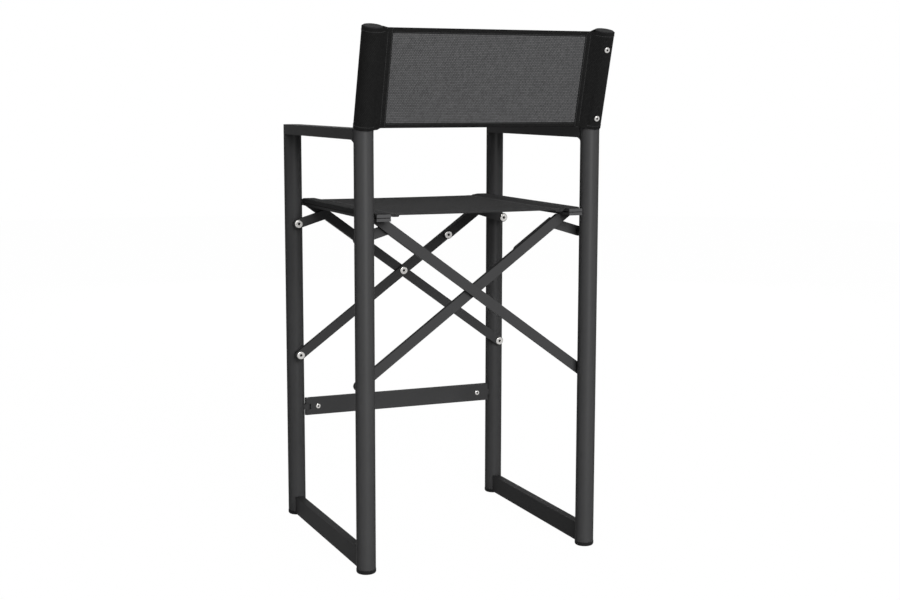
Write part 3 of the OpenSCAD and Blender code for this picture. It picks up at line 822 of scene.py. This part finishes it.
@dataclass
class Back:
    """Mesh back: a sleeve round each post, a mesh panel held between the sleeves' bands, and two hems."""

    wardrobe: Wardrobe
    lean: float = math.radians(15.7)
    corner_z: float = 902 * MM
    sleeve_cloth: float = 1.1 * MM
    gap: float = 0.15 * MM
    panel_back: float = 1 * MM
    panel_cloth: float = 1.0 * MM
    seam: float = 30.5 * MM
    band: float = 42.5 * MM
    band_gap: float = 0.05 * MM
    band_blend: tuple = (24 * MM, 33 * MM)
    sleeve_span: tuple = (5 * MM, 208 * MM)
    panel_span: tuple = (7 * MM, 207 * MM)
    mesh_span: tuple = (16.5 * MM, 197 * MM)
    panel_half: float = 218 * MM
    tuck: float = 1.2 * MM
    anchor_up: float = 100 * MM
    sleeve_hem: float = 9 * MM
    end_row: float = 7 * MM
    hem_fold: float = 0.25 * MM
    hem_cloth: float = 0.8 * MM
    hem_gap: float = 0.1 * MM
    hem_row: float = 1.6 * MM
    turn_in: float = 1.6 * MM
    slack: float = 4 * MM
    folded_share: float = 0.306
    post_x: float = field(init=False)
    post_y: float = field(init=False)
    post_r: float = field(init=False)
    sleeve_out: float = field(init=False)

    def __post_init__(self) -> None:
        """Take the posts' places and the sleeves' radius from the frame."""
        low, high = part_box("rear_leg_left")
        self.post_x, self.post_y = (low[0] + high[0]) / 2, (low[1] + high[1]) / 2
        self.post_r = (high[0] - low[0]) / 2
        self.sleeve_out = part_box("back_sleeve_left")[1][0] - self.post_x

    def place(self, x: Values, back: Values, up: Values) -> Array:
        """Points from the leaning plane: up runs along the posts from their bend, back at right angles.

        Args:
            x: X of the points.
            back: Distances behind the post axes.
            up: Distances along the posts.
        Returns:
            Points in the frame's axes.
        """
        y = self.post_y + up * math.sin(self.lean) + back * math.cos(self.lean)
        z = self.corner_z + up * math.cos(self.lean) - back * math.sin(self.lean)
        return joined(x, y, z)

    def hang(self, up: Values) -> Values:
        """Distance of the panel behind the post axes: the loose cloth hangs further back lower down."""
        share = (self.panel_span[1] - up) / (self.panel_span[1] - self.panel_span[0])
        return self.panel_back + self.slack * np.clip(share, 0, 1)

    def behind(self, x: Values, up: Values, off: Values) -> Array:
        """Points at a distance behind the middle of the hanging panel."""
        return self.place(x, self.hang(up) + off, up)

    def stitch_rows(self, x: Values, up: Values, off: float) -> Rows:
        """A row of stitches off each face of the panel, with the way that it faces."""
        rows = [self.behind(x, up, face * off) for face in (-1, 1)]
        return [(row, self.behind(x, up, face * (off + 1)) - row) for face, row in zip((-1, 1), rows)]

    def sleeve_path(self) -> Array:
        """Section of a sleeve, outwards and back from the post axis: a flat band, a tangent to the post, the
        arc round it, the other tangent and the second layer of the band.

        Returns:
            Points of the cloth's middle line, of shape (n, 2).
        """
        radius = self.post_r + self.gap + self.sleeve_cloth / 2
        layer = self.panel_cloth / 2 + self.band_gap + self.sleeve_cloth / 2
        sides = []
        for sign in (-1, 1):
            tip = np.array([-self.seam, self.panel_back + sign * layer])
            reach, heading = np.linalg.norm(tip), math.atan2(tip[1], tip[0])
            sides.append((tip, heading - sign * math.acos(radius / reach)))
        turn = np.linspace(sides[0][1] % (2 * math.pi), sides[1][1] + 2 * math.pi, 90)
        arc = radius * joined(np.cos(turn), np.sin(turn))
        edges = [np.array([[-self.band, tip[1]], [-(self.seam + 4 * MM), tip[1]], tip]) for tip, _ in sides]
        front = round_path(np.concatenate((edges[0], arc[:1])), 3)
        rear = round_path(np.concatenate((arc[-1:], edges[1][::-1])), 3)
        return resample(np.concatenate((front[:-1], arc, rear[1:])), 1.6 * MM)

    def sleeve(self, side: Side) -> None:
        """One sleeve: its section carried along the post, stepping in at the band, and its stitches.

        Args:
            side: The sleeve's side.
        """
        path = self.sleeve_path()
        normal = path_normals(path)
        v = np.concatenate((np.array([0, 0.002]), np.linspace(0.005, 0.995, 67), np.array([0.998, 1])))
        at_band = rise(-path[:, 0], *self.band_blend)
        low, high = (end + (inner - end) * at_band for end, inner in zip(self.sleeve_span, self.panel_span))
        up = low + v[:, None] * (high - low)
        edge = np.minimum(up - low, high - up)
        fold = self.hem_fold * (1 - rise(edge, self.sleeve_hem - 1 * MM, self.sleeve_hem))
        pulled = rise(-path[:, 0], 0.7 * self.post_r, 1.3 * self.post_r)
        back = path[:, 1] + (self.hang(up) - self.panel_back) * pulled
        faces = []
        for offset in (self.sleeve_cloth / 2 + fold, -self.sleeve_cloth / 2 + 0 * fold):
            x = side.value * (self.post_x + path[:, 0] - normal[:, 0] * offset)
            faces.append(self.place(x, back - normal[:, 1] * offset, up))
        run = run_along(path)
        sleeve = closed_shell(f"back_sleeve_cloth_{side.word}", *faces, joined(run, up))
        self.wardrobe.dress(sleeve, "sleeve_cloth", "sleeve_cloth")
        stitches = self.sleeve_stitches(side)
        self.wardrobe.dress(stitches, "thread", "sleeve_cloth")
        for piece in (sleeve, stitches):
            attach(piece, f"{side.word}_frame")
        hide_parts(f"back_sleeve_{side.word}")
        length = self.sleeve_span[1] - self.sleeve_span[0]
        LOG.info("%s sleeve: %.0f by %.0f mm flat", side.word, run[-1] / MM, length / MM)

    def sleeve_stitches(self, side: Side) -> Piece:
        """Two upright rows on each face of the band, and a row along each end of the sleeve.

        Args:
            side: The sleeve's side.
        Returns:
            The stitches as one object.
        """
        path = self.sleeve_path()
        normal = path_normals(path)
        lines = []
        out = self.panel_cloth / 2 + self.band_gap + self.sleeve_cloth
        up = np.linspace(self.panel_span[0] + 2 * MM, self.panel_span[1] - 2 * MM, 40)
        for reach in (self.seam + 1.2 * MM, self.band - 2 * MM):
            lines += self.stitch_rows(side.value * (self.post_x - reach), up, out)
        around = np.flatnonzero(path[:, 0] > -self.band_blend[0])
        outward = self.sleeve_cloth / 2 + self.hem_fold
        for level in (self.sleeve_span[0] + self.end_row, self.sleeve_span[1] - self.end_row):
            points = [path[around] - normal[around] * reach for reach in (outward, outward + 1)]
            ring, beyond = (self.place(side.value * (self.post_x + p[:, 0]), p[:, 1], level) for p in points)
            lines.append((ring, beyond - ring))
        return Thread().sew(f"back_sleeve_stitches_{side.word}", lines)

    def panel(self) -> None:
        """The mesh panel, its two folded hems and their stitches, all carried by the left frame."""
        x = np.linspace(-self.panel_half, self.panel_half, 110)
        up = np.linspace(self.panel_span[0] + self.tuck, self.panel_span[1] - self.tuck, 52)
        faces = [self.behind(x, up[:, None], face * self.panel_cloth / 2) for face in (1, -1)]
        mesh = closed_shell("back_mesh", *faces, joined(x, up[:, None]))
        self.wardrobe.dress(mesh, "mesh_cloth", "mesh_cloth")
        hems = [self.hem(word, *span) for word, span in self.hem_spans().items()]
        stitches = self.hem_stitches()
        for piece in hems:
            self.wardrobe.dress(piece, "sleeve_cloth", "sleeve_cloth")
        self.wardrobe.dress(stitches, "thread", "sleeve_cloth")
        anchor = tuple(self.place(self.panel_half, self.panel_back, self.anchor_up))
        for piece in (mesh, *hems, stitches):
            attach(piece, "left_frame")
            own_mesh(piece)
        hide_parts("back_panel")

    def hem_spans(self) -> dict[str, tuple[float, float]]:
        """Outer edge and inner edge of each hem, along the posts."""
        return dict(zip(("lower", "upper"), zip(self.panel_span, self.mesh_span)))

    def hem(self, word: str, outer: float, inner: float) -> Piece:
        """A strip folded over the panel's edge: a U section carried along X.

        Args:
            word: Name of the hem.
            outer: Place of the fold along the posts.
            inner: Place of the strip's two raw edges.
        Returns:
            The hem.
        """
        layer = self.panel_cloth / 2 + self.hem_gap + self.hem_cloth / 2
        turn_in = outer + math.copysign(self.turn_in, inner - outer)
        half = np.array([[inner, layer], [turn_in, layer], [outer, layer]])
        corners = np.concatenate((half, half[::-1] * np.array([1, -1])))
        path = resample(round_path(corners), 0.9 * MM)
        normal = path_normals(path)
        reach = self.post_x - self.band - 0.2 * MM
        x = np.linspace(-reach, reach, 80)
        faces = []
        for offset in (self.hem_cloth / 2, -self.hem_cloth / 2):
            up, back = (path + normal * offset).T[:, None, :]
            faces.append(self.behind(x[:, None], up, back))
        return closed_shell(f"back_hem_{word}", *faces, joined(x[:, None], run_along(path)))

    def hem_stitches(self) -> Piece:
        """A row of stitches along each hem's inner edge, on both faces.

        Returns:
            The stitches as one object.
        """
        reach = self.post_x - self.band - 2 * MM
        x = np.linspace(-reach, reach, 60)
        out = self.panel_cloth / 2 + self.hem_gap + self.hem_cloth
        lines = []
        for outer, inner in self.hem_spans().values():
            lines += self.stitch_rows(x, inner + math.copysign(self.hem_row, outer - inner), out)
        return Thread().sew("back_hem_stitches", lines)

    def build(self) -> None:
        """Make both sleeves and the panel."""
        for side in Side:
            self.sleeve(side)
        self.panel()


# Bolt sockets: dark plates of painted shade on their floors


@dataclass(frozen=True)
class Socket:
    """Hexagon socket of a bolt: the middle of its floor, the way it faces and the size of its dark plate of
    painted shade.
    """

    floor: Array
    facing: Array
    radius: float
    thick: float = 0.3 * MM

    def plate(self) -> Array:
        """Corners of a thin hexagon on the socket's floor, first below and then above.

        Returns:
            Points of shape (12, 3).
        """
        turn = np.radians(np.arange(0, 360, 60))[:, None]
        level = np.array([1.0, 0.0, 0.0])
        ring = self.floor + self.radius * (np.cos(turn) * level + np.sin(turn) * np.cross(self.facing, level))
        return np.concatenate((ring, ring + self.thick * self.facing))


@dataclass(frozen=True)
class Head:
    """Size of a bolt head: its diameter and its height."""

    across: float
    height: float


@dataclass(frozen=True)
class Sockets:
    """Painted shade in the sockets of the bolts and screws: dark plates on their floors, one piece for each
    body that carries some.
    """

    wardrobe: Wardrobe
    back: Back
    share: float = 0.38
    bolt: Head = Head(18 * MM, 3.5 * MM)
    sleeve_screw: Head = Head(12 * MM, 3 * MM)
    rest_screw: Head = Head(11.5 * MM, 3 * MM)
    bolt_gap: float = 0.3 * MM
    crease: float = 30
    screw_places: tuple[float, float] = (29 * MM, 174 * MM)

    def on_plate(self, bolts: str, plate: str, end: End, gap: float) -> Socket:
        """Socket of a bolt whose head lies on the inner face of a flat piece.

        Args:
            bolts: Node of the bolts, which gives X and Z.
            plate: Node of the flat piece, which gives Y.
            end: End of the chair.
            gap: Gap between the face and the head.
        Returns:
            The socket, which faces the inside of the chair.
        """
        middle = np.mean(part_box(bolts), axis=0)
        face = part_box(plate)[0 if end is End.REAR else 1][1]
        inwards = np.array([0.0, -end.value, 0.0])
        seat = np.array([middle[0], face, middle[2]])
        return self.socket(seat + inwards * (gap + self.bolt.height / 2), inwards, self.bolt)

    def socket(self, floor: Array, facing: Array, head: Head) -> Socket:
        """Socket that takes the usual share of a head."""
        return Socket(floor, facing, self.share * head.across / 2)

    def pivots(self) -> Iterator[tuple[str, Socket]]:
        """Sockets of the pivot bolts and the link pins.

        Returns:
            Each socket after the name of its body.
        """
        gap = self.bolt_gap
        for end in End:
            yield "left_scissor", self.on_plate("centre_bolts", f"{end.word}_bar_from_left", end, gap)
            for side in Side:
                bar, link = f"{end.word}_bar_from_{side.word}", f"link_{end.word}_{side.word}"
                yield f"{side.word}_frame", self.on_plate(f"bar_bolts_{side.word}", bar, end, gap)
                yield f"{side.word}_frame", self.on_plate(f"link_bolts_{side.word}", link, end, gap)
                pin = f"link_pin_{end.word}_{side.word}"
                yield f"{side.word}_{end.word}_link", self.on_plate(pin, link, end, 0.0)

    def screws(self) -> Iterator[tuple[str, Socket]]:
        """Sockets of the sleeve screws and the footrest screws.

        Returns:
            Each socket after the name of its body.
        """
        back = self.back
        outwards = np.array([0.0, math.cos(back.lean), -math.sin(back.lean)])
        lift = back.sleeve_out + self.sleeve_screw.height / 2
        for up in self.screw_places:
            yield "right_frame", self.socket(back.place(-back.post_x, lift, up), outwards, self.sleeve_screw)
        low, high = np.array(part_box("footrest_screws"))
        reach = self.rest_screw.across / 2
        for x in (low[0] + reach, high[0] - reach):
            floor = np.array([x, high[1] - self.rest_screw.height / 2, (low[2] + high[2]) / 2])
            yield "footrest", self.socket(floor, np.array([0.0, 1.0, 0.0]), self.rest_screw)

    def build(self) -> None:
        """Make the dark plates of painted shade, gathered by body."""
        found = [*self.pivots(), *self.screws()]
        for body in sorted({name for name, _ in found}):
            plates = np.stack([socket.plate() for name, socket in found if name == body])
            verts = plates.reshape(-1, 3)
            faces = tube_faces(2, len(plates))
            piece = put_mesh(f"socket_floors_{body}", verts, faces, verts[:, ::2], self.crease)
            self.wardrobe.dress(piece, "socket", "nickel")
            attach(piece, body)
            LOG.info("%d socket floors on %s", len(plates), body)


@dataclass(frozen=True)
class RailGrooves:
    """Painted shade in the grooves across the seat rails' end caps: dark strips on their floors."""

    wardrobe: Wardrobe
    depth: float = 1.25 * MM
    height: float = 1.7 * MM
    thick: float = 0.3 * MM

    def build(self) -> None:
        """Make the four dark strips of painted shade, each a thin plate with straight edges."""
        for side in Side:
            low, high = np.array(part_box(f"rail_caps_{side.word}"))
            x, z = np.array([low[0], high[0]]), (low[2] + high[2]) / 2 + np.array([-0.5, 0.5]) * self.height
            for end in End:
                floor = (high if end is End.REAR else low)[1] - end.value * self.depth
                levels = (floor + end.value * self.thick, floor)
                faces = [joined(x[:, None], y, z) for y in levels]
                strip = closed_shell(f"rail_groove_{end.word}_{side.word}", *faces, faces[0][..., ::2])
                self.wardrobe.dress(strip, "socket", "cap_grey")
                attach(strip, f"{side.word}_scissor")
        LOG.info("dark grooves on the rail caps")


# Studio


TUBE_WORDS = ("front_leg", "rear_leg", "post_bend", "back_post")
TUBES = tuple(f"{word}_{side.word}" for word in TUBE_WORDS for side in Side)


@dataclass(frozen=True)
class Lamp:
    """A soft rectangular lamp that faces a point; it may miss mirror images, or only gloss some nodes."""

    name: str
    place: Place
    target: Place
    size: tuple[float, float]
    power: float
    mirrored: bool = True
    gloss_of: tuple[str, ...] = ()

    def build(self) -> None:
        """Make the lamp, turn it to its target and set what it shines on."""
        data = bpy.data.lights.new(self.name, "AREA")
        data.shape = "RECTANGLE"
        data.size, data.size_y = self.size
        data.energy = self.power
        lamp = put(self.name, data)
        lamp.location = self.place
        lamp.visible_glossy = self.mirrored
        if self.gloss_of:
            lamp.visible_diffuse = False
            glossy = bpy.data.collections.new(f"{self.name}_receivers")
            for node in self.gloss_of:
                glossy.objects.link(frame["nodes"][node])
            lamp.light_linking.receiver_collection = glossy
        heading = np.array(self.target) - np.array(self.place)
        lamp.rotation_mode = "QUATERNION"
        lamp.rotation_quaternion = Vector(heading).to_track_quat("-Z", "Y")


@dataclass(frozen=True)
class Studio:
    """White studio: the photograph's camera, a pale floor, soft lamps and a white world."""

    camera_place: Place = (1.2429, 2.983330, 0.9715)
    yaw: float = 22.9916
    pitch: float = 7.867
    roll: float = 0.084
    lens: float = 59.26
    world_light: float = 0.24
    floor_finish: Finish = Finish("pale_floor", (0.45,) * 3, 0.9, specular=0.0)
    floor_glow: float = 1.02
    floor_white: float = 0.97
    floor_radius: float = 9
    lamps: tuple[Lamp, ...] = (
        Lamp("key", (0.4, 8.0, 3.7), (0, 0, 0.6), (4.3, 4.0), 860),
        Lamp("front", (-1.8, -4.2, 0.8), (0, 0, 0.7), (2.0, 1.2), 110, mirrored=False),
        Lamp("top", (0.0, -0.4, 3.0), (0, 0, 0.5), (2.0, 2.0), 6),
        Lamp("satin", (0.15, 4.0, 0.7), (0, 0, 0.6), (0.8, 1.4), 980, gloss_of=TUBES),
    )

    def camera(self) -> None:
        """Camera from its heading: right is the heading crossed with up, then both turn by the roll."""
        yaw, pitch, roll = np.radians((self.yaw, self.pitch, self.roll))
        ahead = np.array([-np.sin(yaw) * np.cos(pitch), -np.cos(yaw) * np.cos(pitch), -np.sin(pitch)])
        level = np.cross(ahead, [0, 0, 1])
        level /= np.linalg.norm(level)
        upright = np.cross(level, ahead)
        right = level * np.cos(roll) + upright * np.sin(roll)
        up = upright * np.cos(roll) - level * np.sin(roll)
        data = bpy.data.cameras.new("camera")
        data.lens = self.lens
        data.sensor_width = 36
        camera = put("camera", data)
        turn = Matrix(joined(right, up, -ahead).tolist()).to_4x4()
        camera.matrix_world = Matrix.Translation(self.camera_place) @ turn
        bpy.context.scene.camera = camera

    @staticmethod
    def seen(build: Nodes) -> Pin:
        """1 for rays from the camera, from glossy surfaces and through glass."""
        path = build.add("ShaderNodeLightPath").outputs
        first = build.math("MAXIMUM", path["Is Camera Ray"], path["Is Glossy Ray"])
        return build.math("MAXIMUM", first, path["Is Transmission Ray"])

    def world(self) -> None:
        """World that lights at a plain level and shows white where it is seen."""
        world = bpy.data.worlds.new("studio")
        world.use_nodes = True
        build = Nodes(world.node_tree)
        world.node_tree.nodes.clear()
        light, white = (
            build.add("ShaderNodeBackground", {"Color": WHITE, "Strength": strength}).outputs[0]
            for strength in (self.world_light, 1.0)
        )
        mix = build.add("ShaderNodeMixShader", {0: self.seen(build), 1: light, 2: white})
        build.add("ShaderNodeOutputWorld", {"Surface": mix.outputs[0]})
        bpy.context.scene.world = world

    def floor(self) -> None:
        """Pale floor: a disc of rings that is nearly white where it is seen and keeps a faint shadow."""
        ring, turn = np.linspace(0.02, 1, 24), np.linspace(0, 2 * np.pi, 65)
        x, y = (self.floor_radius * ring[:, None] ** 2 * f(turn)[None, :] for f in (np.cos, np.sin))
        index = np.arange(x.size).reshape(x.shape)
        faces = [*quads(index).tolist(), index[0, :-1].tolist()]
        mesh = bpy.data.meshes.new("floor")
        mesh.from_pydata(joined(x, y, 0.0).reshape(-1, 3).tolist(), [], faces)
        mesh.update()
        floor = put("floor", mesh)
        material, build, shader = self.floor_finish.start()
        white = build.add("ShaderNodeEmission", {"Color": WHITE, "Strength": self.floor_glow})
        share = build.math("MULTIPLY", self.seen(build), self.floor_white)
        mix = build.add("ShaderNodeMixShader", {0: share, 1: shader.outputs[0], 2: white.outputs[0]})
        build.link(mix.outputs[0], material.node_tree.nodes["Material Output"], "Surface")
        mesh.materials.append(material)
        floor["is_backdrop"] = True

    def build(self) -> None:
        """Set up camera, floor, world and lamps, with plain view settings."""
        bpy.context.scene.view_settings.view_transform = "Standard"
        self.camera()
        self.floor()
        self.world()
        for lamp in self.lamps:
            lamp.build()
        LOG.info("studio with %d lamps", len(self.lamps))


def write_sizes() -> None:
    """Build the CAD box and the visual model's box as plain lists of numbers, which are then dropped."""
    boxes = {"cad": CAD_BOX, "visual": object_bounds()}
    {key: [list(corner) for corner in box] for key, box in boxes.items()}


def main() -> None:
    """Build the studio, dress the frame and add the cloth."""
    logging.basicConfig(level=logging.INFO, format="%(name)s: %(message)s")
    Studio().build()
    wardrobe = Wardrobe()
    wardrobe.dress_frame()
    back = Back(wardrobe)
    for assembly in (SeatSling(wardrobe), back, Sockets(wardrobe, back), RailGrooves(wardrobe)):
        assembly.build()
    write_sizes()


if __name__ == "__main__":
    main()
